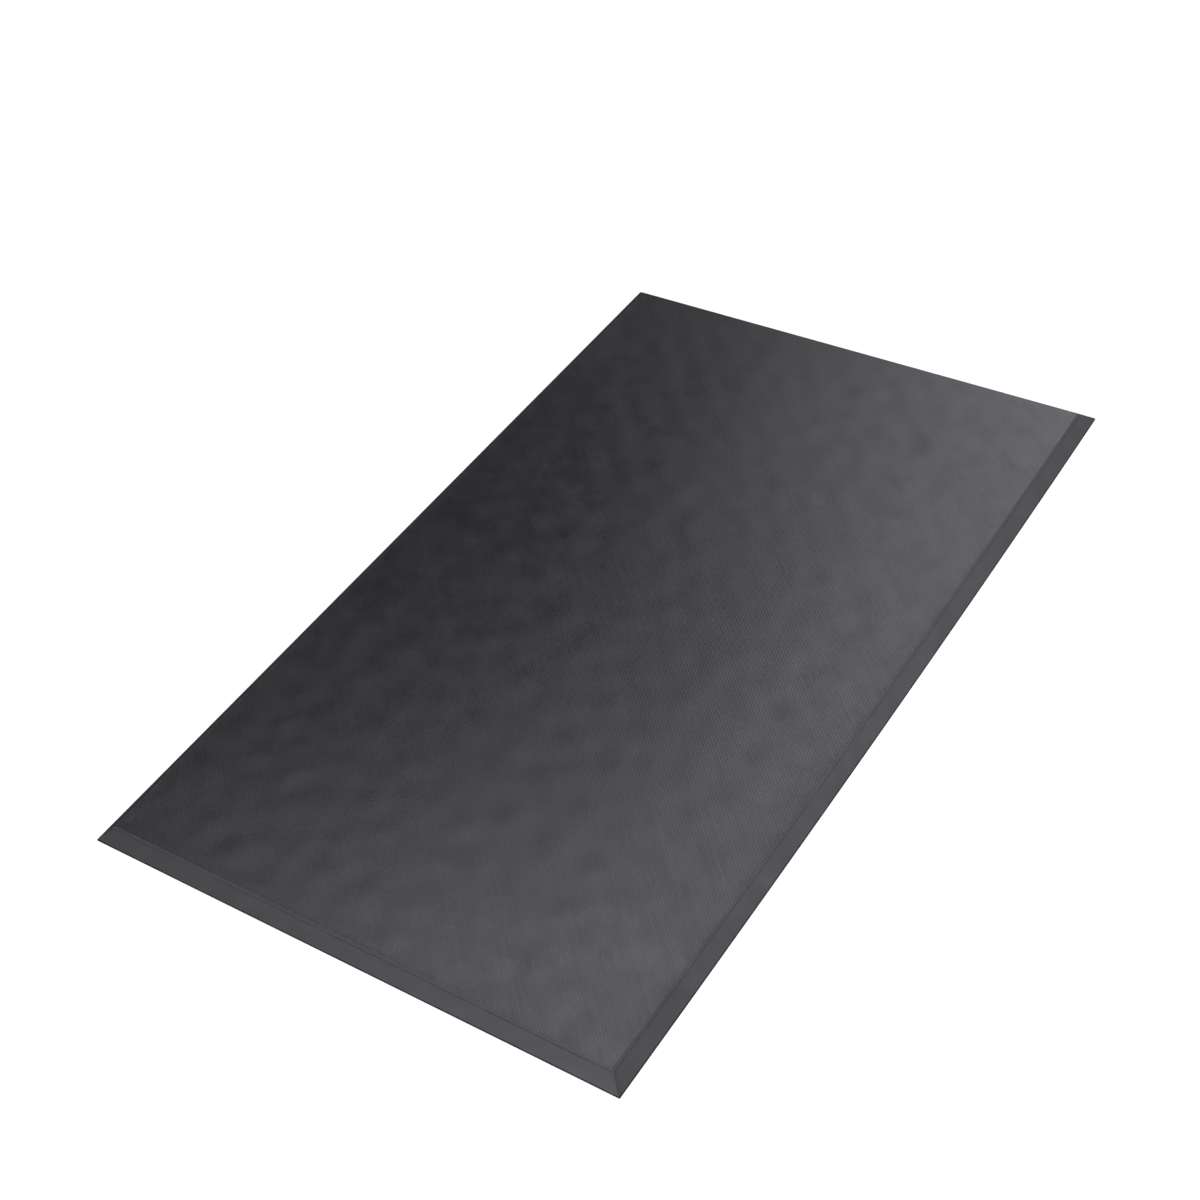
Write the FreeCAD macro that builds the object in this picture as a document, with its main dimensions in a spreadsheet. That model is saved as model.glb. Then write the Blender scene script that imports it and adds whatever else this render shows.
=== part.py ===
"""Anti fatigue mat: a foam core and four mitred edge ramps, glued between a rubber base and a wear sheet.

Millimetres, +Z up. The origin is the centre of the underside, on the floor. X runs across the mat and Y
along it, with the front short side at -Y. Every size comes from the sheet called sizes.
"""

import FreeCAD
import Part

import math
import os

import Sketcher

# Driving dimensions of the mat, in millimetres apart from the two counts.
SIZES = {
    "mat_width": 600,
    "mat_length": 1000,
    "mat_thickness": 15,
    "base_thickness": 2,
    "sheet_thickness": 2,
    "film_thickness": 0.2,
    "film_inset": 1.5,
    "bevel_width": 15,
    "ramp_depth": 32,
    "cut_margin": 5,
    "recess_diameter": 24,
    "recess_depth": 1,
    "recess_pitch": 60,
    "recess_columns": 8,
    "recess_rows": 15,
}

# Heights of the layers, and how far the bevel has come in from the foot at each of them.
CORE_BOTTOM = "(sizes.base_thickness + sizes.film_thickness)"
SHEET_BOTTOM = "(sizes.mat_thickness - sizes.sheet_thickness)"
CORE_TOP = f"({SHEET_BOTTOM} - sizes.film_thickness)"
CORE_HEIGHT = f"({CORE_TOP} - {CORE_BOTTOM})"
BEVEL_RUN = "(sizes.bevel_width / (sizes.mat_thickness - sizes.base_thickness))"
BEVEL_AT_CORE_BOTTOM = f"(sizes.film_thickness * {BEVEL_RUN})"
BEVEL_AT_CORE_TOP = f"(({CORE_TOP} - sizes.base_thickness) * {BEVEL_RUN})"
BEVEL_AT_SHEET_BOTTOM = f"(({SHEET_BOTTOM} - sizes.base_thickness) * {BEVEL_RUN})"

# Each ramp: the yaw that faces it outwards, the length of its side, and the axis and place of its foot.
RAMPS = {
    "front_edge_ramp": (0, "sizes.mat_width", "y", "-sizes.mat_length / 2"),
    "right_edge_ramp": (90, "sizes.mat_length", "x", "sizes.mat_width / 2"),
    "rear_edge_ramp": (180, "sizes.mat_width", "y", "sizes.mat_length / 2"),
    "left_edge_ramp": (270, "sizes.mat_length", "x", "-sizes.mat_width / 2"),
}

ORIGIN = (-1, 1)
Z_AXIS = FreeCAD.Vector(0, 0, 1)


def add_sizes(doc):
    """The spreadsheet of driving dimensions, one row each: a name, then the number under that alias."""
    sheet = doc.addObject("Spreadsheet::Sheet", "sizes")
    for row, (alias, value) in enumerate(SIZES.items(), start=1):
        sheet.set(f"A{row}", alias)
        sheet.set(f"B{row}", str(value))
        sheet.setAlias(f"B{row}", alias)
    doc.recompute()
    return sheet


def add_body(doc, label):
    body = doc.addObject("PartDesign::Body", label)
    body.Label = label
    return body


def add_sketch(body, name, plane, height=None):
    """A sketch on one of the body's own origin planes, lifted along the plane's normal by an expression."""
    sketch = body.newObject("Sketcher::SketchObject", name)
    feature = next(f for f in body.Origin.OriginFeatures if f.Role == plane)
    sketch.AttachmentSupport = (feature, [""])
    sketch.MapMode = "FlatFace"
    if height:
        sketch.setExpression("AttachmentOffset.Base.z", height)
    return sketch


def bind(sketch, kind, *references, size):
    """A dimension between the references, driven by an expression."""
    index = sketch.addConstraint(Sketcher.Constraint(kind, *references, 1.0))
    sketch.setExpression(f"Constraints[{index}]", size)


def draw_loop(sketch, count):
    """A closed loop of sides, as yet a regular polygon with a level first side. Returns its first side."""
    turn = 2 * math.pi / count
    corners = []
    for corner in range(count):
        angle = turn * (corner - 0.5) - math.pi / 2
        corners.append(FreeCAD.Vector(math.cos(angle), math.sin(angle), 0))
    sides = [Part.LineSegment(a, b) for a, b in zip(corners, corners[1:] + corners[:1])]
    first = sketch.addGeometry(sides)[0]
    for side in range(count):
        following = first + (side + 1) % count
        sketch.addConstraint(Sketcher.Constraint("Coincident", first + side, 2, following, 1))
    return first


def draw_rectangle(sketch, width, length):
    """A rectangle centred on the sketch's origin."""
    first = draw_loop(sketch, 4)
    for side in range(4):
        direction = "Horizontal" if side % 2 == 0 else "Vertical"
        sketch.addConstraint(Sketcher.Constraint(direction, first + side))
    sketch.addConstraint(Sketcher.Constraint("Symmetric", first, 1, first + 1, 2, *ORIGIN))
    bind(sketch, "DistanceX", first, 1, first, 2, size=width)
    bind(sketch, "DistanceY", first + 1, 1, first + 1, 2, size=length)


def draw_polygon(sketch, points):
    """A closed outline whose corners are placed from the sketch's origin by pairs of expressions."""
    first = draw_loop(sketch, len(points))
    for side, (across, along) in enumerate(points):
        bind(sketch, "DistanceX", *ORIGIN, first + side, 1, size=across)
        bind(sketch, "DistanceY", *ORIGIN, first + side, 1, size=along)


def finish_body(doc, body, tip):
    """Recomputes, so that the last feature's shape is the body's."""
    body.Tip = tip
    doc.recompute()
    return body


def make_box(doc, label, width, length, height, bottom):
    """A flat block centred on the mat, such as the core or a film."""
    block = doc.addObject("Part::Box", label)
    block.Label = label
    block.setExpression("Length", width)
    block.setExpression("Width", length)
    block.setExpression("Height", height)
    block.setExpression("Placement.Base.x", f"-({width}) / 2")
    block.setExpression("Placement.Base.y", f"-({length}) / 2")
    block.setExpression("Placement.Base.z", bottom)
    return block


def make_grip_base(doc):
    """The rubber base. Its edge is the lip under the ramps, and its underside has round grip recesses."""
    body = add_body(doc, "grip_base")
    outline = add_sketch(body, "base_outline", "XY_Plane")
    draw_rectangle(outline, "sizes.mat_width", "sizes.mat_length")
    slab = body.newObject("PartDesign::Pad", "base_slab")
    slab.Profile = outline
    slab.setExpression("Length", "sizes.base_thickness")
    doc.recompute()

    circle = add_sketch(body, "recess_circle", "XY_Plane")
    rim = circle.addGeometry(Part.Circle(FreeCAD.Vector(-1, -1, 0), Z_AXIS, 1))
    bind(circle, "Diameter", rim, size="sizes.recess_diameter")
    bind(circle, "DistanceX", *ORIGIN, rim, 3, size="-sizes.recess_pitch * (sizes.recess_columns - 1) / 2")
    bind(circle, "DistanceY", *ORIGIN, rim, 3, size="-sizes.recess_pitch * (sizes.recess_rows - 1) / 2")
    recess = body.newObject("PartDesign::Pocket", "recess")
    recess.Profile = circle
    recess.Reversed = True
    recess.setExpression("Length", "sizes.recess_depth")
    doc.recompute()

    grid = body.newObject("PartDesign::LinearPattern", "recess_grid")
    grid.Originals = [recess]
    grid.Direction = (circle, ["H_Axis"])
    grid.setExpression("Length", "sizes.recess_pitch * (sizes.recess_columns - 1)")
    grid.setExpression("Occurrences", "sizes.recess_columns")
    grid.Direction2 = (circle, ["V_Axis"])
    grid.setExpression("Length2", "sizes.recess_pitch * (sizes.recess_rows - 1)")
    grid.setExpression("Occurrences2", "sizes.recess_rows")
    return finish_body(doc, body, grid)


def make_edge_ramp(doc, label):
    """A bevelled strip, mitred at both ends. It is drawn along X with its foot at y = 0, then turned."""
    yaw, side_length, foot_axis, foot_place = RAMPS[label]
    body = add_body(doc, label)

    section = add_sketch(body, label + "_section", "YZ_Plane")
    draw_polygon(
        section,
        [
            (BEVEL_AT_CORE_BOTTOM, "0"),
            ("sizes.ramp_depth", "0"),
            ("sizes.ramp_depth", CORE_HEIGHT),
            (BEVEL_AT_CORE_TOP, CORE_HEIGHT),
        ],
    )
    strip = body.newObject("PartDesign::Pad", label + "_strip")
    strip.Profile = section
    strip.Midplane = True
    strip.setExpression("Length", side_length)
    doc.recompute()

    mitres = add_sketch(body, label + "_mitres", "XY_Plane")
    for sign in ("", "-"):
        past_end = f"{sign}({side_length} / 2 + sizes.cut_margin)"
        before_end = f"{sign}({side_length} / 2 - sizes.ramp_depth - sizes.cut_margin)"
        past_inner_face = "sizes.ramp_depth + sizes.cut_margin"
        draw_polygon(
            mitres,
            [
                (past_end, "-sizes.cut_margin"),
                (before_end, past_inner_face),
                (past_end, past_inner_face),
            ],
        )
    cut = body.newObject("PartDesign::Pocket", label + "_mitre_cut")
    cut.Profile = mitres
    cut.Type = "ThroughAll"
    cut.Reversed = True

    body.Placement.Rotation = FreeCAD.Rotation(Z_AXIS, yaw)
    body.setExpression(f"Placement.Base.{foot_axis}", foot_place)
    body.setExpression("Placement.Base.z", CORE_BOTTOM)
    return finish_body(doc, body, cut)


def make_wear_sheet(doc):
    """The textured top sheet, with edges cut at the bevel's angle, so that they carry on the ramps' slope."""
    body = add_body(doc, "wear_sheet")
    bottom = add_sketch(body, "sheet_bottom", "XY_Plane", SHEET_BOTTOM)
    inset = f"2 * {BEVEL_AT_SHEET_BOTTOM}"
    draw_rectangle(bottom, f"sizes.mat_width - {inset}", f"sizes.mat_length - {inset}")
    top = add_sketch(body, "sheet_top", "XY_Plane", "sizes.mat_thickness")
    draw_rectangle(top, "sizes.mat_width - 2 * sizes.bevel_width", "sizes.mat_length - 2 * sizes.bevel_width")
    sheet = body.newObject("PartDesign::AdditiveLoft", "sheet_loft")
    sheet.Profile = bottom
    sheet.Sections = [top]
    return finish_body(doc, body, sheet)


def make_films(doc):
    """The two adhesive films. Each stops a little short of the faces that show."""
    lower = make_box(
        doc,
        "lower_bond_film",
        f"(sizes.mat_width - 2 * ({BEVEL_AT_CORE_BOTTOM} + sizes.film_inset))",
        f"(sizes.mat_length - 2 * ({BEVEL_AT_CORE_BOTTOM} + sizes.film_inset))",
        "sizes.film_thickness",
        "sizes.base_thickness",
    )
    upper = make_box(
        doc,
        "upper_bond_film",
        f"(sizes.mat_width - 2 * ({BEVEL_AT_SHEET_BOTTOM} + sizes.film_inset))",
        f"(sizes.mat_length - 2 * ({BEVEL_AT_SHEET_BOTTOM} + sizes.film_inset))",
        "sizes.film_thickness",
        CORE_TOP,
    )
    return [lower, upper]


def make_foam_core(doc):
    """The closed-cell foam block between the ramps."""
    return make_box(
        doc,
        "foam_core",
        "(sizes.mat_width - 2 * sizes.ramp_depth)",
        "(sizes.mat_length - 2 * sizes.ramp_depth)",
        CORE_HEIGHT,
        CORE_BOTTOM,
    )


def check_document(doc, pieces):
    """Stops if any object failed, or if a piece has no solid of its own."""
    for item in doc.Objects:
        if {"Invalid", "Error"} & set(item.State):
            raise RuntimeError(f"{item.Name} failed: {item.State}")
    for piece in pieces:
        if piece.Shape.isNull() or not piece.Shape.isValid():
            raise RuntimeError(f"{piece.Label} has no valid shape")
        if len(piece.Shape.Solids) != 1:
            raise RuntimeError(f"{piece.Label} is not one solid")


def check_recesses(doc, sheet):
    """Stops unless the base lost the volume of every recess."""
    slab = doc.getObject("base_slab").Shape.Volume
    patterned = doc.getObject("recess_grid").Shape.Volume
    one = Part.makeCylinder(sheet.recess_diameter / 2, sheet.recess_depth).Volume
    expected = one * sheet.recess_columns * sheet.recess_rows
    if abs(slab - patterned - expected) > 0.001 * expected:
        raise RuntimeError("the base's recesses are not all cut")


def check_fit(pieces, sheet):
    """Stops unless the pieces fill the mat's outer box and none overlaps another."""
    whole = Part.makeCompound([piece.Shape for piece in pieces]).BoundBox
    expected = (sheet.mat_width, sheet.mat_length, sheet.mat_thickness)
    for found, wanted in zip((whole.XLength, whole.YLength, whole.ZLength), expected):
        if abs(found - wanted) > 0.01:
            raise RuntimeError(f"the mat measures {found:.2f} where {wanted} was meant")
    for index, piece in enumerate(pieces):
        for other in pieces[index + 1 :]:
            shared = piece.Shape.common(other.Shape).Volume
            if shared > 0.01:
                raise RuntimeError(f"{piece.Label} and {other.Label} overlap by {shared:.2f} mm3")


def main():
    doc = FreeCAD.newDocument("anti_fatigue_mat")
    sheet = add_sizes(doc)
    pieces = [make_grip_base(doc), make_foam_core(doc)]
    pieces += [make_edge_ramp(doc, label) for label in RAMPS]
    pieces += make_films(doc)
    pieces.append(make_wear_sheet(doc))
    doc.recompute()

    check_document(doc, pieces)
    check_recesses(doc, sheet)
    check_fit(pieces, sheet)
    os.makedirs("parts", exist_ok=True)
    for piece in pieces:
        piece.Shape.exportStep(f"parts/{piece.Label}.step")
        box = piece.Shape.BoundBox
        print(
            f"{piece.Label}: {box.XLength:.2f} x {box.YLength:.2f} x {box.ZLength:.2f} mm, "
            f"z {box.ZMin:.2f} to {box.ZMax:.2f}, {piece.Shape.Volume / 1000:.1f} cm3"
        )


main()
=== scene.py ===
"""Looks of the anti fatigue mat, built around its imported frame. Metres, in the frame's own axes.

The mat lies flat: a rubber base, a foam core edged by four mitred ramps, and a wear sheet embossed with
fine slanting ribs. Each layer is a closed mesh in the place of its CAD node, laid as a soft mat really lies.
"""

import math

import bmesh
import bpy
import numpy as np
from mathutils import Matrix, Vector


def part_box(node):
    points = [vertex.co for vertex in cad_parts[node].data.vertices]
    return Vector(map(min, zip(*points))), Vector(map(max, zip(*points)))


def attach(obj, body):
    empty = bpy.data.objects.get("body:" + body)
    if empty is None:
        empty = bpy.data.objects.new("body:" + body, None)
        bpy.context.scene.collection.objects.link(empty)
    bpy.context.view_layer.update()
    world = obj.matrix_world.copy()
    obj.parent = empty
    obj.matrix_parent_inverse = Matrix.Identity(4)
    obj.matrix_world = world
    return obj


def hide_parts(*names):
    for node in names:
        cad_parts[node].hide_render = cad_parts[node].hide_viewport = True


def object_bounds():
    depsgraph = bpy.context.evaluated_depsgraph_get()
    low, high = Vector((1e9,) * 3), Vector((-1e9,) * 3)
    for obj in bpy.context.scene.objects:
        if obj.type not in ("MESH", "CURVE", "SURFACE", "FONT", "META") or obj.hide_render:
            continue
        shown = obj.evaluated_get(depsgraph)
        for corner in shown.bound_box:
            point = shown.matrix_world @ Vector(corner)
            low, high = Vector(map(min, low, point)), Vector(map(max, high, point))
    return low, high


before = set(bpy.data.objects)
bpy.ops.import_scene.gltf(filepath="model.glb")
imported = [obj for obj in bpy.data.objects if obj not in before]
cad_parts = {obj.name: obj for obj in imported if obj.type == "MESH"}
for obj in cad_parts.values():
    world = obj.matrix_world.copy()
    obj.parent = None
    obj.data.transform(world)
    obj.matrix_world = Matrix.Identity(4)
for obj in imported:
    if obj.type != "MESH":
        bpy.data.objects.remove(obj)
cad_low, cad_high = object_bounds()

MM = 0.001

# The mat's own sizes, all from the frame.
HALF_WIDTH = cad_high.x
HALF_LENGTH = cad_high.y
TOP = cad_high.z
BASE_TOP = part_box("grip_base")[1].z
CORE_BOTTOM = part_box("foam_core")[0].z
CORE_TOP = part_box("foam_core")[1].z
SHEET_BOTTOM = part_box("wear_sheet")[0].z
RAMP_DEPTH = HALF_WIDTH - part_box("right_edge_ramp")[0].x
BEVEL_RUN = (HALF_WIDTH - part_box("wear_sheet")[1].x) / (SHEET_BOTTOM - BASE_TOP)
BEVEL_ANGLE = math.atan2(1, BEVEL_RUN)
CREASE_INSET = BEVEL_RUN * (TOP - BASE_TOP)

# How the soft mat lies: the right long edge bows outwards, the top has sunk a little over the base's
# recesses, and the foam's unevenness shows through, apart from the firm rim over the ramps.
EDGE_BOW = 3.6 * MM
DIMPLE = 0.22 * MM
DIMPLE_RADIUS = 22 * MM
DIMPLE_STRAY = 5 * MM
SHALLOWEST_DIMPLE = 0.05
SWELL = 0.06 * MM
SWELL_LENGTH = 42 * MM
ROLL = 0.10 * MM
ROLL_LENGTH = 260 * MM
RIPPLE = 0.06 * MM
RIPPLE_LENGTH = 30 * MM
FIRM_RIM = 20 * MM

# The top's relief is fine ribs with narrow flat crowns, unevenly worn, with painted shade low on them. Its
# crease is round, rubbed, and painted lighter as a painted highlight.
RIB_PITCH = 3.05 * MM
RIB_DEPTH = 0.055 * MM
RIB_UNEVENNESS = 0.75
RIB_CROWN = 0.38
RIB_STEPS = 72
# The crowns' wear, which also sets the painted shade on the ribs: full in the grooves, none on the crowns.
CROWN_WEAR_AND_SHADE = 0.3
RUB_LENGTH = 36 * MM
PLAIN_MARGIN = 0.6 * MM
CREASE_RADIUS = 0.3 * MM
CREASE_STEPS = 4
# The crease's wear across its rounding paints it lighter: rubbing, and a painted highlight.
CREASE_WEAR_AND_HIGHLIGHT = (0.7, 1.3, 1.6, 1.3, 0.8, 0.3)
FLAT_KEEP = 0.05 * MM

# Turns of the surface beyond this are shaded as sharp edges, and points closer than this are one.
SHARP_TURN = math.radians(50)
WELD = 1e-6

# The ramps' slopes, soft arrises and the hairline seams round them.
RAMP_STEPS = 12
RAMP_PITCH = 5 * MM
ARRIS = 0.10 * MM
MITRE_ARRIS = 0.3 * MM
MITRE_SINK = 0.04 * MM
# The ramps' upper arrises are painted lighter: rubbing, and a painted highlight along the seam.
ARRIS_WEAR_AND_HIGHLIGHT = 0.8
MITRE_WEAR = 0.6
SEAM = 0.02 * MM

# The base's recesses repeat the CAD ones: their pitch, radius and depth.
RECESS_PITCH = 60 * MM
RECESS_COLUMNS = 8
RECESS_ROWS = 15
RECESS_RADIUS = 12 * MM
RECESS_DEPTH = 1 * MM


def bevel_inset(z):
    """How far the bevel has come in from the mat's foot at height z."""
    return BEVEL_RUN * (z - BASE_TOP)


# ---- the lie of the mat ------------------------------------------------------------------------------


def wave_field(seed, length, count=28):
    """A smooth random height field of about unit size, as a sum of sines round one wavelength."""
    random = np.random.RandomState(seed)
    heading = random.uniform(0, 2 * math.pi, count)
    pitch = length * random.uniform(0.75, 1.45, count)
    phase = random.uniform(0, 2 * math.pi, count)
    across = 2 * math.pi * np.cos(heading) / pitch
    along = 2 * math.pi * np.sin(heading) / pitch

    def height(x, y):
        total = np.zeros_like(x)
        for k in range(count):
            total += np.sin(across[k] * x + along[k] * y + phase[k])
        return total * math.sqrt(2 / count)

    return height


swell = wave_field(11, SWELL_LENGTH)
roll = wave_field(12, ROLL_LENGTH)
ripple = wave_field(13, RIPPLE_LENGTH)
rub = wave_field(16, RUB_LENGTH)


def dimples(x, y):
    """How far the top has sunk over the recesses, from 0 to 1, in hollows of uneven depth and place."""
    random = np.random.RandomState(14)
    depth = random.uniform(SHALLOWEST_DIMPLE, 1, (RECESS_COLUMNS, RECESS_ROWS))
    stray = random.uniform(-DIMPLE_STRAY, DIMPLE_STRAY, (2, RECESS_COLUMNS, RECESS_ROWS))
    middle_column, middle_row = (RECESS_COLUMNS - 1) / 2, (RECESS_ROWS - 1) / 2
    column = np.clip(np.round(x / RECESS_PITCH + middle_column), 0, RECESS_COLUMNS - 1).astype(int)
    row = np.clip(np.round(y / RECESS_PITCH + middle_row), 0, RECESS_ROWS - 1).astype(int)
    away_x = x - (column - middle_column) * RECESS_PITCH - stray[0, column, row]
    away_y = y - (row - middle_row) * RECESS_PITCH - stray[1, column, row]
    near = np.clip(1 - (away_x**2 + away_y**2) / DIMPLE_RADIUS**2, 0, 1)
    return depth[column, row] * near**2


def lay(points):
    """Moves points of the straight mat to where they lie: bowed at the right, uneven in the wear sheet."""
    x, y, z = points[:, 0], points[:, 1], points[:, 2]
    towards_right = np.clip((x + HALF_WIDTH) / (2 * HALF_WIDTH), 0, 1) ** 2
    bow = EDGE_BOW * (1 - (y / HALF_LENGTH) ** 2) * towards_right
    in_sheet = np.clip((z - SHEET_BOTTOM) / (TOP - SHEET_BOTTOM), 0, 1)
    from_crease = np.minimum(HALF_WIDTH - np.abs(x), HALF_LENGTH - np.abs(y)) - CREASE_INSET
    softness = np.clip(from_crease / FIRM_RIM, 0, 1)
    softness = softness**2 * (3 - 2 * softness)
    rise = SWELL * swell(x, y) + ROLL * roll(x, y) - ROLL - DIMPLE * dimples(x, y)
    return np.stack([x + bow, y, z + rise * in_sheet * softness], axis=1)


# ---- mesh helpers ------------------------------------------------------------------------------------


def make_piece(name, points, faces, wear=None, merge=None):
    """A smooth mesh object of the laid points. Its normals face out, and its sharpest turns stay sharp.

    wear says how worn each point is, and where the ribs' grooves take painted shade and the crease and
    arrises a painted highlight. It goes to the materials with how far the top has sunk there.
    merge joins points closer than that.
    """
    points = np.asarray(points, float)
    mesh = bpy.data.meshes.new(name)
    mesh.from_pydata(lay(points).tolist(), [], faces)
    worn = mesh.attributes.new("wear", "FLOAT", "POINT")
    worn.data.foreach_set("value", np.zeros(len(points)) if wear is None else wear)
    sunk = mesh.attributes.new("sunk", "FLOAT", "POINT")
    sunk.data.foreach_set("value", dimples(points[:, 0], points[:, 1]))
    shape = bmesh.new()
    shape.from_mesh(mesh)
    if merge:
        bmesh.ops.remove_doubles(shape, verts=shape.verts, dist=merge)
    bmesh.ops.recalc_face_normals(shape, faces=shape.faces)
    shape.to_mesh(mesh)
    shape.free()
    mesh.polygons.foreach_set("use_smooth", [True] * len(mesh.polygons))
    mesh.set_sharp_from_angle(angle=SHARP_TURN)
    piece = bpy.data.objects.new(name, mesh)
    bpy.context.scene.collection.objects.link(piece)
    return piece


def rectangle_ring(half_width, half_length, columns, rows):
    """Points round a rectangle, anticlockwise from its low corner, with columns and rows steps a side."""
    xs = np.linspace(-half_width, half_width, columns + 1)
    ys = np.linspace(-half_length, half_length, rows + 1)
    front = [(x, -half_length) for x in xs[:-1]]
    right = [(half_width, y) for y in ys[:-1]]
    rear = [(x, half_length) for x in xs[:0:-1]]
    left = [(-half_width, y) for y in ys[:0:-1]]
    return front + right + rear + left


def add_ring(points, inset, z, columns, rows):
    """Adds a ring of the mat's outline at that inset and height. Returns its indices."""
    first = len(points)
    ring = rectangle_ring(HALF_WIDTH - inset, HALF_LENGTH - inset, columns, rows)
    points.extend((x, y, z) for x, y in ring)
    return list(range(first, len(points)))


def join_rings(faces, outer, inner):
    """Quads between two rings of the same count."""
    count = len(outer)
    for k in range(count):
        following = (k + 1) % count
        faces.append((outer[k], outer[following], inner[following], inner[k]))


def join_thirds(faces, fine, coarse):
    """Faces from a ring to one with a third of its points."""
    for k, near in enumerate(coarse):
        far = coarse[(k + 1) % len(coarse)]
        a, b, c, d = (fine[(3 * k + step) % len(fine)] for step in range(4))
        faces.extend([(a, b, near), (b, c, far, near), (c, d, far)])


def arc(centre, radius, start, end, steps):
    """Points (inset, z) on an arc in a section, with angles from straight up towards the mat's outside."""
    turn = np.linspace(start, end, steps + 1)
    return [(centre[0] - radius * math.sin(a), centre[1] + radius * math.cos(a)) for a in turn]


# ---- the pieces --------------------------------------------------------------------------------------


def rib_field(half_width, half_length):
    """The ribs of the top, which run slantwise from the left rear to the right front, ending on a rectangle.

    Each rib has three lines along it, a groove's bottom and the two sides of its crown. Returns the points,
    the faces, the ring of the lines' ends, anticlockwise from the low corner, and the cell counts.
    """
    across = round(2 * half_width / (RIB_PITCH * math.sqrt(2)))
    along = round(2 * half_length / (RIB_PITCH * math.sqrt(2)))
    crown = (1 - RIB_CROWN) / 2
    profile = [(0, TOP - RIB_DEPTH), (crown, TOP), (1 - crown, TOP)]
    lines = [(k + part, z) for k in range(across + along) for part, z in profile]
    lines.append((across + along, TOP - RIB_DEPTH))
    offset, z = np.array(lines).T[:, :, None]
    share = np.linspace(0, 1, RIB_STEPS + 1)
    start = np.maximum(0, offset - along)
    end = np.minimum(across, offset)
    column = start + share * (end - start)
    row = offset - column
    x = (2 * column / across - 1) * half_width
    y = (2 * row / along - 1) * half_length
    worn = np.random.RandomState(15).uniform(0, 1, (across + along, 1)).repeat(3, axis=0)
    worn = np.append(worn, [[0]], axis=0) * np.clip(0.5 + 0.5 * rub(x, y), 0, 1)
    z = z - RIB_UNEVENNESS * worn * (z - TOP + RIB_DEPTH)
    points = np.stack([x, y, z], axis=-1).reshape(-1, 3).tolist()

    step = RIB_STEPS + 1
    faces = []
    for line in range(len(lines) - 1):
        for k in range(line * step, line * step + RIB_STEPS):
            faces.append((k, k + 1, k + step + 1, k + step))
    last = len(lines) - 1
    ring = [line * step + RIB_STEPS for line in range(last)] + [line * step for line in range(last, 0, -1)]
    return points, faces, ring, across, along


def make_wear_sheet():
    """The top sheet: fine slanting ribs inside a rounded crease, and a cut edge in line with the bevel."""
    field_inset = CREASE_INSET + PLAIN_MARGIN
    half_width, half_length = HALF_WIDTH - field_inset, HALF_LENGTH - field_inset
    points, faces, border, columns, rows = rib_field(half_width, half_length)
    tangent = CREASE_RADIUS * math.tan(BEVEL_ANGLE / 2)
    crease_centre = (CREASE_INSET + tangent, TOP - CREASE_RADIUS)
    section = [(crease_centre[0] + FLAT_KEEP, TOP)]
    section += arc(crease_centre, CREASE_RADIUS, 0, BEVEL_ANGLE, CREASE_STEPS)
    cut_top = TOP - CREASE_RADIUS * (1 - math.cos(BEVEL_ANGLE)) - FLAT_KEEP
    section.append((bevel_inset(cut_top), cut_top))
    # On the ribs the wear is the crown's height share, which sets the painted shade in the grooves.
    wear = [CROWN_WEAR_AND_SHADE * (z - TOP + RIB_DEPTH) / RIB_DEPTH for x, y, z in points]
    # The crease's wear values paint it lighter, as rubbing and as a painted highlight.
    worn = [CROWN_WEAR_AND_SHADE, *CREASE_WEAR_AND_HIGHLIGHT]
    for share in (0.45, 0.12):
        z = SHEET_BOTTOM + share * (TOP - SHEET_BOTTOM)
        section.append((bevel_inset(z), z))
        worn.append(0)
    section.append((bevel_inset(SHEET_BOTTOM) + SEAM / 2, SHEET_BOTTOM + SEAM / 2))
    section.append((bevel_inset(SHEET_BOTTOM) + 2 * SEAM, SHEET_BOTTOM))
    worn += [0, 0]

    previous = None
    for (inset, z), amount in zip(section, worn):
        ring = add_ring(points, inset, z, columns, rows)
        wear += [amount] * len(ring)
        if previous is None:
            join_thirds(faces, border, ring)
        else:
            join_rings(faces, previous, ring)
        previous = ring
    faces.append(tuple(previous))
    return make_piece("wear_sheet_top", points, faces, wear, merge=WELD)


def mark_cut_edge(sheet):
    """Gives the wear sheet's cut edge, and its hidden underside, the second material."""
    steepest_worn = math.cos(0.75 * BEVEL_ANGLE)
    for face in sheet.data.polygons:
        if face.normal.z < steepest_worn:
            face.material_index = 1


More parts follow.
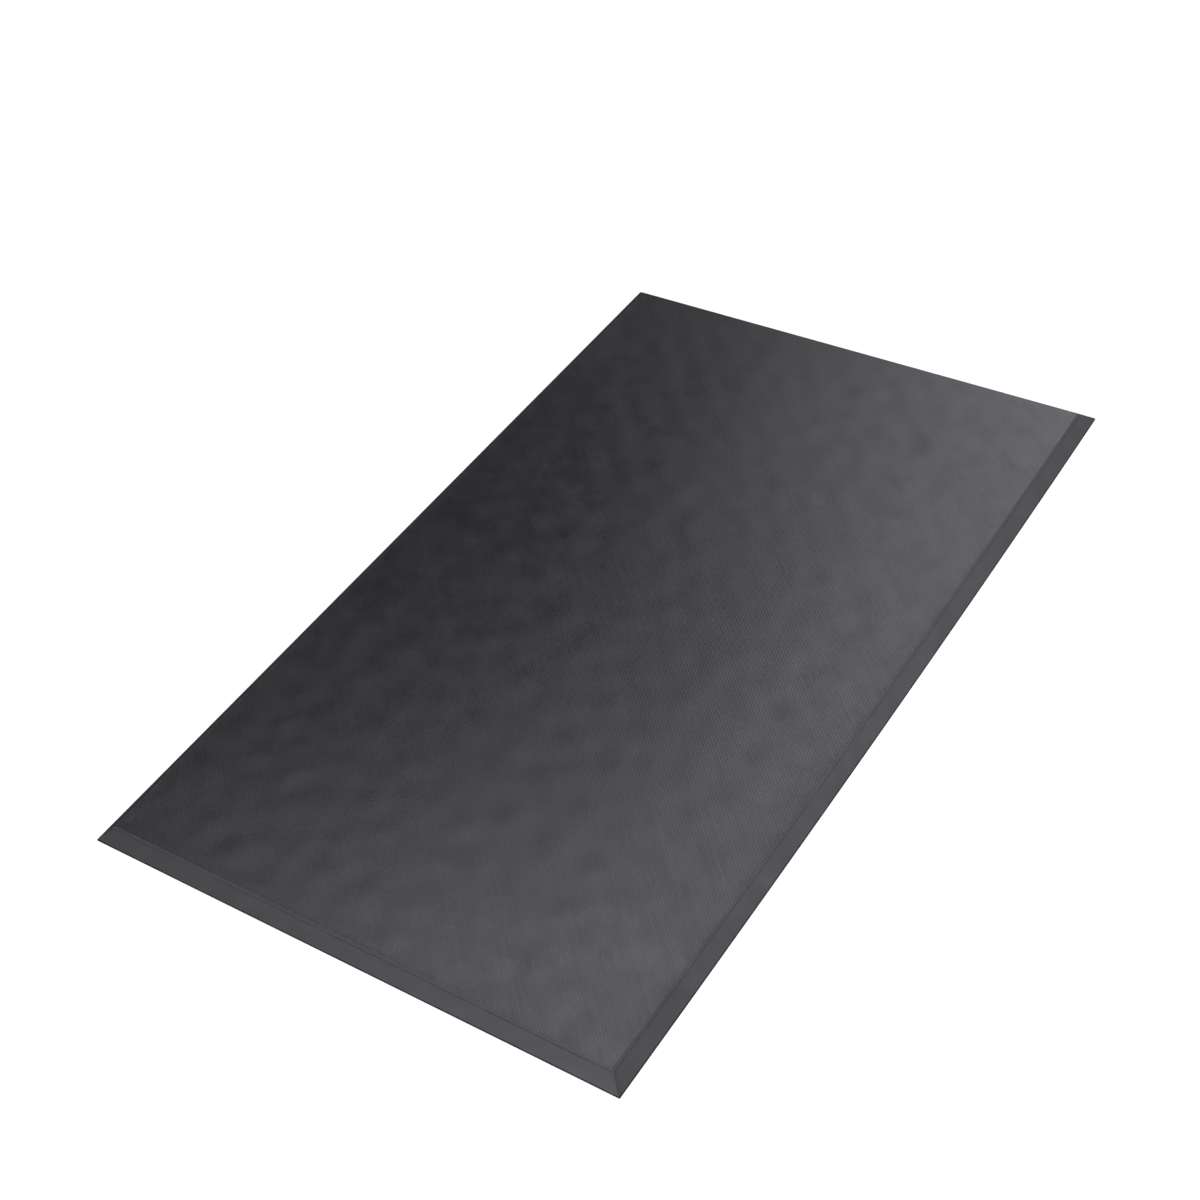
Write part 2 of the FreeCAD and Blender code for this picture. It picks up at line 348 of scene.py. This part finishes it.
def make_edge_ramp(name, yaw, half_side, distance):
    """A bevelled strip along one side, mitred at both ends, with a little ripple and soft arrises."""
    bottom = CORE_BOTTOM + SEAM / 2
    top = CORE_TOP - SEAM / 4
    foot, crest = bevel_inset(bottom), bevel_inset(top)
    section = [(foot + ARRIS, bottom), (foot + ARRIS / 4, bottom + ARRIS / 3)]
    slope = len(section)
    for z in (bottom + ARRIS, *np.linspace(bottom + 2 * ARRIS, top - 2 * ARRIS, RAMP_STEPS), top - ARRIS):
        section.append((bevel_inset(z), z))
    upper_arris = len(section)
    section += [(crest + ARRIS / 4, top - ARRIS / 3), (crest + ARRIS, top)]
    back = len(section)
    section += [(RAMP_DEPTH - SEAM, top), (RAMP_DEPTH - SEAM, bottom)]

    steps = round(2 * half_side / RAMP_PITCH)
    stations = [-1] + list(np.linspace(-1, 1, steps + 1)) + [1]
    points, faces, wear = [], [], []
    turn = np.array(Matrix.Rotation(yaw, 3, "Z"))
    for k, station in enumerate(stations):
        at_end = k in (0, len(stations) - 1)
        for j, (inset, z) in enumerate(section):
            reach = half_side - inset - SEAM / 2
            on_slope = slope <= j < upper_arris
            on_upper_arris = upper_arris <= j < back
            if at_end and on_slope:
                inset += MITRE_SINK * math.sin(BEVEL_ANGLE)
                z -= MITRE_SINK * math.cos(BEVEL_ANGLE)
            along = station * (reach if at_end else reach - MITRE_ARRIS)
            place = turn @ np.array([along, inset - distance, z])
            if on_slope and not at_end:
                swing = math.sin(math.pi * (j - 1) / (upper_arris - 1))
                place[2] += RIPPLE * ripple(place[:1], place[1:2])[0] * swing
            points.append(place)
            # The upper arris's wear paints it lighter, as rubbing and as a painted highlight.
            if on_upper_arris:
                wear.append(ARRIS_WEAR_AND_HIGHLIGHT)
            else:
                wear.append(MITRE_WEAR if at_end and on_slope else 0)
    count = len(section)
    for k in range(len(stations) - 1):
        for j in range(count):
            a, b = k * count + j, k * count + (j + 1) % count
            faces.append((a, b, b + count, a + count))
    faces.append(tuple(range(count)))
    last = (len(stations) - 1) * count
    faces.append(tuple(range(last + count - 1, last - 1, -1)))
    return make_piece(name, points, faces, wear)


def make_slab(name, node, columns, rows, clearance, round_off):
    """A closed slab in a node's box, subdivided and with rounded rims: the core and the films."""
    low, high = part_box(node)
    half_width, half_length = high.x - clearance, high.y - clearance
    bottom, top = low.z + clearance / 4, high.z - clearance / 4
    points, faces = [], []
    rims = [
        (round_off, bottom),
        (0.3 * round_off, bottom + 0.3 * round_off),
        (0, bottom + round_off),
        (0, top - round_off),
        (0.3 * round_off, top - 0.3 * round_off),
        (round_off, top),
    ]
    rings = []
    for inset, z in rims:
        first = len(points)
        ring = rectangle_ring(half_width - inset, half_length - inset, columns, rows)
        points.extend((x, y, z) for x, y in ring)
        rings.append(list(range(first, len(points))))
    for outer, inner in zip(rings, rings[1:]):
        join_rings(faces, outer, inner)
    for z in (bottom, top):
        first = len(points)
        xs = np.linspace(-half_width + round_off, half_width - round_off, columns + 1)
        ys = np.linspace(-half_length + round_off, half_length - round_off, rows + 1)
        points.extend((x, y, z) for x in xs for y in ys)
        for column in range(columns):
            for row in range(rows):
                a = first + column * (rows + 1) + row
                b = a + rows + 1
                faces.append((a, b, b + 1, a + 1))
    return make_piece(name, points, faces, merge=WELD)


def make_grip_base():
    """The rubber base: a thin slab with a cut edge, whose underside has round recesses with soft rims."""
    points, faces = [], []
    sides = 8
    profile = [
        (RECESS_RADIUS + 0.30 * MM, 0),
        (RECESS_RADIUS + 0.08 * MM, 0.07 * MM),
        (RECESS_RADIUS, 0.30 * MM),
        (RECESS_RADIUS - 0.10 * MM, RECESS_DEPTH - 0.35 * MM),
        (RECESS_RADIUS - 0.50 * MM, RECESS_DEPTH - 0.05 * MM),
        (RECESS_RADIUS - 1.20 * MM, RECESS_DEPTH),
        (RECESS_RADIUS / 2, RECESS_DEPTH),
    ]
    half_cell = RECESS_PITCH / 2
    square = rectangle_ring(half_cell, half_cell, sides, sides)
    for column in range(RECESS_COLUMNS):
        for row in range(RECESS_ROWS):
            middle_x = (column - (RECESS_COLUMNS - 1) / 2) * RECESS_PITCH
            middle_y = (row - (RECESS_ROWS - 1) / 2) * RECESS_PITCH
            first = len(points)
            points.extend((middle_x + x, middle_y + y, 0) for x, y in square)
            previous = list(range(first, len(points)))
            for radius, z in profile:
                first = len(points)
                for x, y in square:
                    angle = math.atan2(y, x)
                    across, along = radius * math.cos(angle), radius * math.sin(angle)
                    points.append((middle_x + across, middle_y + along, z))
                ring = list(range(first, len(points)))
                join_rings(faces, previous, ring)
                previous = ring
            faces.append(tuple(previous))
    half_width = RECESS_PITCH * RECESS_COLUMNS / 2
    half_length = RECESS_PITCH * RECESS_ROWS / 2
    columns, rows = RECESS_COLUMNS * sides, RECESS_ROWS * sides
    first = len(points)
    points.extend((x, y, 0) for x, y in rectangle_ring(half_width, half_length, columns, rows))
    previous = list(range(first, len(points)))
    rim = 0.3 * MM
    edge = [
        (40 * MM, 0),
        (22 * MM, 0),
        (8 * MM, 0),
        (rim, 0),
        (0.3 * rim, 0.3 * rim),
        (0, rim),
        (0, BASE_TOP / 2),
        (0, BASE_TOP - rim),
        (0.3 * rim, BASE_TOP - 0.3 * rim),
        (rim, BASE_TOP),
        (6 * MM, BASE_TOP),
    ]
    for inset, z in edge:
        ring = add_ring(points, inset, z, columns, rows)
        join_rings(faces, previous, ring)
        previous = ring
    faces.append(tuple(previous))
    return make_piece("grip_base_sheet", points, faces, merge=WELD)


# ---- materials ---------------------------------------------------------------------------------------

# Pairs are the darker and lighter colour of a mottle.
COOL_TINT = (0.89, 0.90, 1.0, 1)
TOP_COLOURS = (0.0060, 0.0056, 0.0068), (0.0100, 0.0103, 0.0112)
SLOPE_COLOURS = (0.0185, 0.0185, 0.0195), (0.0225, 0.0225, 0.024)
# The base's rubber is darkened to paint the shade along the mat's foot.
SHADE_DARKENED_BASE_COLOURS = (0.005, 0.005, 0.0045), (0.009, 0.009, 0.008)
FOAM_COLOURS = (0.05, 0.05, 0.052), (0.08, 0.08, 0.083)
FILM_COLOURS = (0.30, 0.27, 0.20), (0.38, 0.35, 0.27)
# The dark colour of painted shade: in the top's grooves, in bands and streaks on its ribs, and over its
# dimples.
GROOVE_SHADE_COLOUR = (0.0045, 0.0043, 0.0050)
# The lighter colour of rubbed edges, and also a painted highlight on the crease and the ramps' upper
# arrises.
RUBBED_AND_HIGHLIGHT_COLOUR = (0.060, 0.060, 0.064)
DUST_COLOUR = (0.22, 0.22, 0.21)


class Nodes:
    """Short calls for building a material's node tree. Noise scales are in cells per metre."""

    def __init__(self, name):
        self.material = bpy.data.materials.new(name)
        self.material.use_nodes = True
        self.tree = self.material.node_tree
        self.shader = self.tree.nodes["Principled BSDF"]
        self.place = self.add("ShaderNodeTexCoord").outputs["Object"]

    def add(self, kind, **values):
        node = self.tree.nodes.new(kind)
        for key, value in values.items():
            setattr(node, key, value)
        return node

    def link(self, source, target):
        self.tree.links.new(source, target)

    def noise(self, scale, detail=2.0, roughness=0.5, at=None):
        node = self.add("ShaderNodeTexNoise")
        node.inputs["Scale"].default_value = scale
        node.inputs["Detail"].default_value = detail
        node.inputs["Roughness"].default_value = roughness
        self.link(at or self.place, node.inputs["Vector"])
        return node.outputs["Fac"]

    def remap(self, value, low, high, to_low, to_high):
        node = self.add("ShaderNodeMapRange")
        limits = {"From Min": low, "From Max": high, "To Min": to_low, "To Max": to_high}
        for socket, number in limits.items():
            node.inputs[socket].default_value = number
        self.link(value, node.inputs["Value"])
        return node.outputs["Result"]

    def math(self, operation, first, second):
        node = self.add("ShaderNodeMath", operation=operation)
        self.link(first, node.inputs[0])
        self.link(second, node.inputs[1])
        return node.outputs[0]

    def stored(self, name):
        return self.add("ShaderNodeAttribute", attribute_name=name).outputs["Fac"]

    def mix(self, factor, first, second):
        node = self.add("ShaderNodeMix", data_type="RGBA")
        self.link(factor, node.inputs["Factor"])
        # The node's two colour inputs are its 6 and 7, and its colour output is its 2.
        for socket, value in ((6, first), (7, second)):
            if isinstance(value, tuple):
                node.inputs[socket].default_value = (*value, 1)
            else:
                self.link(value, node.inputs[socket])
        return node.outputs[2]

    def bump(self, height, distance, normal=None):
        node = self.add("ShaderNodeBump")
        node.inputs["Strength"].default_value = 1
        node.inputs["Distance"].default_value = distance
        self.link(height, node.inputs["Height"])
        if normal:
            self.link(normal, node.inputs["Normal"])
        return node.outputs["Normal"]


def rubber(name, dark, light, roughness, grain, grain_depth, gloss=0.5):
    """The finish of every layer: a mottled colour with a fine grain, lighter edges and a little pale dust.

    The points' wear, broken up by noise, lightens the colour where the piece is rubbed, and as a painted
    highlight along the crease and the ramps' upper arrises.
    """
    nodes = Nodes(name)
    nodes.shader.inputs["Specular IOR Level"].default_value = gloss
    nodes.shader.inputs["Specular Tint"].default_value = COOL_TINT
    patches = nodes.noise(34, detail=5, roughness=0.6)
    colour = nodes.mix(nodes.remap(patches, 0.32, 0.68, 0, 1), dark, light)
    tatters = nodes.remap(nodes.noise(140, detail=5), 0.3, 0.7, 0.5, 1.1)
    ragged = nodes.math("MULTIPLY", nodes.stored("wear"), tatters)
    # Rubbed edges, and the crease and upper arrises as a painted highlight, go towards the lighter colour.
    colour = nodes.mix(nodes.remap(ragged, 0.45, 1.0, 0, 0.5), colour, RUBBED_AND_HIGHLIGHT_COLOUR)
    specks = nodes.remap(nodes.noise(700, detail=1), 0.80, 0.84, 0, 0.5)
    colour = nodes.mix(specks, colour, DUST_COLOUR)
    nodes.link(colour, nodes.shader.inputs["Base Color"])
    sheen_patches = nodes.noise(38, detail=4, roughness=0.6)
    satin = nodes.remap(sheen_patches, 0.3, 0.7, roughness - 0.03, roughness + 0.03)
    nodes.link(satin, nodes.shader.inputs["Roughness"])
    fine = nodes.bump(nodes.noise(grain, detail=3, roughness=0.6), grain_depth)
    nodes.link(fine, nodes.shader.inputs["Normal"])
    return nodes


def ribbed_rubber():
    """The wear sheet's top: painted shade in the grooves, in bands along the ribs and in streaks across
    them, and polished crowns.

    It is also duller, and darker with painted shade, where it has sunk over a recess.
    """
    nodes = rubber("wear_top_with_painted_light", *TOP_COLOURS, 0.30, 2600, 0.006 * MM)
    # This turns X to run along the ribs, and Y across them.
    turned = nodes.add("ShaderNodeMapping")
    turned.inputs["Rotation"].default_value = (0, 0, math.radians(45))
    nodes.link(nodes.place, turned.inputs["Vector"])
    wave = nodes.add("ShaderNodeTexWave", bands_direction="Y")
    wave.inputs["Scale"].default_value = math.pi / (10 * RIB_PITCH)
    wave.inputs["Distortion"].default_value = 2.0
    wave.inputs["Detail"].default_value = 2
    wave.inputs["Detail Scale"].default_value = 0.6
    nodes.link(turned.outputs["Vector"], wave.inputs["Vector"])
    stretch = nodes.add("ShaderNodeMapping")
    stretch.inputs["Scale"].default_value = (460, 190, 300)
    nodes.link(turned.outputs["Vector"], stretch.inputs["Vector"])
    bands = wave.outputs["Fac"]
    streaks = nodes.noise(1, detail=1, at=stretch.outputs["Vector"])
    crown = nodes.remap(nodes.stored("wear"), 0, CROWN_WEAR_AND_SHADE, 0, 1)
    sunk = nodes.stored("sunk")

    colour, satin = (nodes.shader.inputs[name].links[0].from_socket for name in ("Base Color", "Roughness"))
    # Painted shade: the grooves go towards the dark colour, and the crowns keep theirs.
    colour = nodes.mix(crown, GROOVE_SHADE_COLOUR, colour)
    # Painted shade in bands at the ribs' pitch along them, and in streaks across them.
    colour = nodes.mix(nodes.remap(bands, 0.5, 1, 0, 0.7), colour, GROOVE_SHADE_COLOUR)
    colour = nodes.mix(nodes.remap(streaks, 0.3, 0.7, 0, 0.4), colour, GROOVE_SHADE_COLOUR)
    # Painted shade over the dimples, where the top has sunk.
    colour = nodes.mix(nodes.remap(sunk, 0, 1, 0, 0.8), colour, GROOVE_SHADE_COLOUR)
    nodes.link(colour, nodes.shader.inputs["Base Color"])
    satin = nodes.math("ADD", satin, nodes.remap(crown, 0, 1, 0.06, 0))
    satin = nodes.math("ADD", satin, nodes.remap(sunk, 0, 1, 0, 0.04))
    nodes.link(satin, nodes.shader.inputs["Roughness"])

    grain = nodes.shader.inputs["Normal"].links[0].from_socket
    banded = nodes.bump(bands, 0.02 * MM, normal=grain)
    nodes.link(nodes.bump(streaks, 0.06 * MM, normal=banded), nodes.shader.inputs["Normal"])
    return nodes


def finish_materials():
    """The materials by short name. The wear sheet has two: wear, and cut for its edge."""
    looks = {
        "wear": ribbed_rubber(),
        "cut": rubber("cut_edge_finish", *SLOPE_COLOURS, 0.50, 1800, 0.03 * MM, 0.25),
        "ramp": rubber("ramp_finish", *SLOPE_COLOURS, 0.50, 1500, 0.03 * MM, 0.25),
        # The base's darkened colours paint the shade along the mat's foot.
        "base": rubber("base_with_painted_shade", *SHADE_DARKENED_BASE_COLOURS, 0.8, 1200, 0.05 * MM, 0.10),
        "foam": rubber("foam_finish", *FOAM_COLOURS, 0.9, 700, 0.3 * MM, 0.2),
        "film": rubber("film_finish", *FILM_COLOURS, 0.35, 400, 0.02 * MM),
    }
    return {name: nodes.material for name, nodes in looks.items()}


def settle(piece, node, material):
    """Gives a piece its material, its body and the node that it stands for."""
    piece.data.materials.append(material)
    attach(piece, "root")
    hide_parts(node)


def build_mat():
    looks = finish_materials()
    sheet = make_wear_sheet()
    mark_cut_edge(sheet)
    settle(sheet, "wear_sheet", looks["wear"])
    sheet.data.materials.append(looks["cut"])
    ramps = (
        ("front", 0, HALF_WIDTH, HALF_LENGTH),
        ("right", math.pi / 2, HALF_LENGTH, HALF_WIDTH),
        ("rear", math.pi, HALF_WIDTH, HALF_LENGTH),
        ("left", 3 * math.pi / 2, HALF_LENGTH, HALF_WIDTH),
    )
    for side, yaw, half_side, distance in ramps:
        ramp = make_edge_ramp(f"{side}_ramp", yaw, half_side, distance)
        settle(ramp, f"{side}_edge_ramp", looks["ramp"])
    settle(make_grip_base(), "grip_base", looks["base"])
    core = make_slab("foam_core_block", "foam_core", 44, 76, 0.2 * MM, 0.8 * MM)
    settle(core, "foam_core", looks["foam"])
    for which in ("lower", "upper"):
        film = make_slab(f"{which}_film", f"{which}_bond_film", 30, 50, 0.04 * MM, 0.04 * MM)
        settle(film, f"{which}_bond_film", looks["film"])


# ---- the studio --------------------------------------------------------------------------------------


def make_floor():
    """A plain pale floor under the mat, lit from within as a light table is, and left out of reflections."""
    mesh = bpy.data.meshes.new("floor")
    reach = 40
    gap = 0.2 * MM
    corners = [(-reach, -reach, 0), (reach, -reach, 0), (reach, reach, 0), (-reach, reach, 0)]
    mesh.from_pydata(corners, [], [(0, 1, 2, 3)])
    floor = bpy.data.objects.new("floor", mesh)
    floor.location.z = -gap
    floor.visible_glossy = False
    bpy.context.scene.collection.objects.link(floor)
    nodes = Nodes("pale_floor")
    mottle = nodes.mix(nodes.noise(3), (0.21, 0.21, 0.21), (0.23, 0.23, 0.23))
    nodes.link(mottle, nodes.shader.inputs["Base Color"])
    nodes.shader.inputs["Roughness"].default_value = 0.9
    nodes.shader.inputs["Specular IOR Level"].default_value = 0.1
    nodes.shader.inputs["Emission Color"].default_value = (1, 1, 1, 1)
    nodes.shader.inputs["Emission Strength"].default_value = 0.85
    mesh.materials.append(nodes.material)


def add_softbox(name, azimuth, elevation, distance, aim, size, radiance):
    """A soft box at that azimuth from +X and elevation, in degrees, turned to face aim on the floor."""
    turn, tilt = math.radians(azimuth), math.radians(elevation)
    heading = Vector((math.cos(tilt) * math.cos(turn), math.cos(tilt) * math.sin(turn), math.sin(tilt)))
    light = bpy.data.lights.new(name, "AREA")
    light.shape = "RECTANGLE"
    light.size, light.size_y = size
    light.energy = radiance * math.pi * size[0] * size[1]
    lamp = bpy.data.objects.new(name, light)
    lamp.location = heading * distance
    lamp.rotation_mode = "QUATERNION"
    lamp.rotation_quaternion = (lamp.location - Vector((*aim, 0))).to_track_quat("Z", "Y")
    bpy.context.scene.collection.objects.link(lamp)


def make_room():
    """A dim room round the mat, which is pale only in a low band round the horizon."""
    world = bpy.data.worlds.new("studio")
    world.use_nodes = True
    tree = world.node_tree
    backdrop = tree.nodes["Background"]
    backdrop.inputs["Color"].default_value = (0.95, 0.97, 1.0, 1)
    towards = tree.nodes.new("ShaderNodeTexCoord")
    parts = tree.nodes.new("ShaderNodeSeparateXYZ")
    level = tree.nodes.new("ShaderNodeMath")
    level.operation = "ABSOLUTE"
    fade = tree.nodes.new("ShaderNodeMapRange")
    for socket, number in (("From Min", 0), ("From Max", 0.08), ("To Min", 0.9), ("To Max", 0.03)):
        fade.inputs[socket].default_value = number
    tree.links.new(towards.outputs["Generated"], parts.inputs[0])
    tree.links.new(parts.outputs["Z"], level.inputs[0])
    tree.links.new(level.outputs[0], fade.inputs["Value"])
    tree.links.new(fade.outputs["Result"], backdrop.inputs["Strength"])
    bpy.context.scene.world = world


def add_lights():
    """Six soft boxes. Those behind the mat show in the top's sheen, which fades to the left."""
    add_softbox("right_softbox", 32.3, 28.0, 4.50, (-0.60, 0.60), (3.00, 1.70), 11.1)
    add_softbox("rear_softbox", 102.0, 42.8, 4.52, (1.00, -0.38), (1.90, 1.31), 3.08)
    add_softbox("low_rear_softbox", 100.5, 26.1, 4.63, (0.37, 1.69), (1.30, 1.31), 2.95)
    add_softbox("low_softbox", 120.0, 22.0, 4.00, (0.00, 0.00), (1.00, 1.00), 0.60)
    add_softbox("top_softbox", 142.0, 64.0, 3.52, (-0.60, 0.48), (2.99, 1.41), 3.90)
    add_softbox("front_softbox", 264.2, 20.0, 4.50, (-0.31, 0.33), (2.61, 1.41), 24.04)


def add_camera():
    """The view from a standing person's eye, above and to the right of the near short side."""
    azimuth = math.radians(38.26)
    elevation = math.radians(42.83)
    lean = math.radians(-8.21)
    distance = 2.1322
    aim = Vector((-0.0430, 0.0045, 0))
    back = Vector(
        (
            math.sin(azimuth) * math.cos(elevation),
            -math.cos(azimuth) * math.cos(elevation),
            math.sin(elevation),
        )
    )
    level = Vector((0, 0, 1)).cross(back).normalized()
    upright = back.cross(level)
    right = math.cos(lean) * level + math.sin(lean) * upright
    up = back.cross(right)
    data = bpy.data.cameras.new("camera")
    data.sensor_width = 36
    data.lens = 60.75
    camera = bpy.data.objects.new("camera", data)
    turn = Matrix((right, up, back)).transposed()
    camera.matrix_world = Matrix.Translation(aim + back * distance) @ turn.to_4x4()
    bpy.context.scene.collection.objects.link(camera)
    bpy.context.scene.camera = camera


bpy.context.scene.view_settings.view_transform = "Standard"
build_mat()
make_floor()
make_room()
add_lights()
add_camera()
